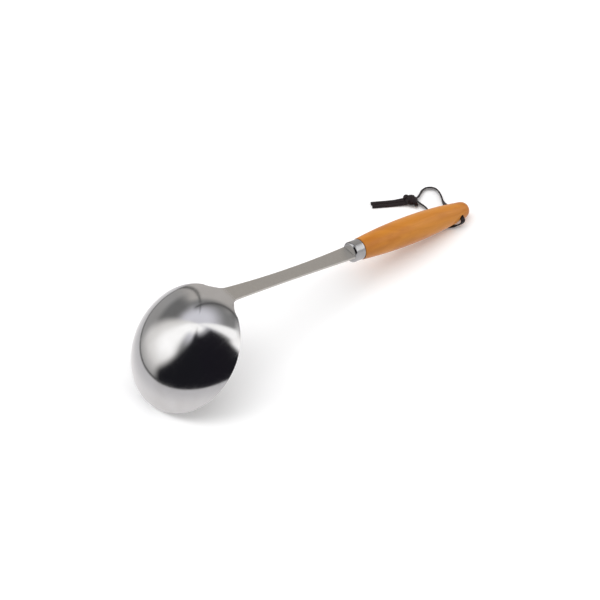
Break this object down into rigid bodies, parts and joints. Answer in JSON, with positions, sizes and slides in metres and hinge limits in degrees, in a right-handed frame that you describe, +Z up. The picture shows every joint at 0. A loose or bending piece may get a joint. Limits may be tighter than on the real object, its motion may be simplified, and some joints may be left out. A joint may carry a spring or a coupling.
{
  "type": "wok ladle",
  "caption": "Long-handled wok ladle: shallow round steel bowl and flat shank, steel ferrule, turned wooden handle and a knotted leather hanging lace.",
  "frame": {"origin": "middle of the part's footprint on the surface it lies on, the lace left out", "axes": "+X from the bowl towards the handle's end, +Y to the left seen that way, +Z up from the surface"},
  "size_m": [0.3503, 0.1206, 0.0709],
  "materials": {
    "polished_steel": "polished stainless sheet, finely brushed along the shank",
    "ferrule_steel": "polished stainless cap",
    "lacquered_wood": "turned hardwood with a clear amber lacquer",
    "cured_resin": "cured bedding resin, out of sight",
    "leather": "dyed flat leather lace"
  },
  "bodies": {
    "root": {"ladle_body": "polished_steel", "ferrule": "ferrule_steel", "handle": "lacquered_wood", "tang_bedding": "cured_resin", "lace_far_strand": "leather", "lace_near_strand": "leather", "lace_knot": "leather", "lace_far_tail": "leather", "lace_near_tail": "leather"}
  },
  "joints": []
}
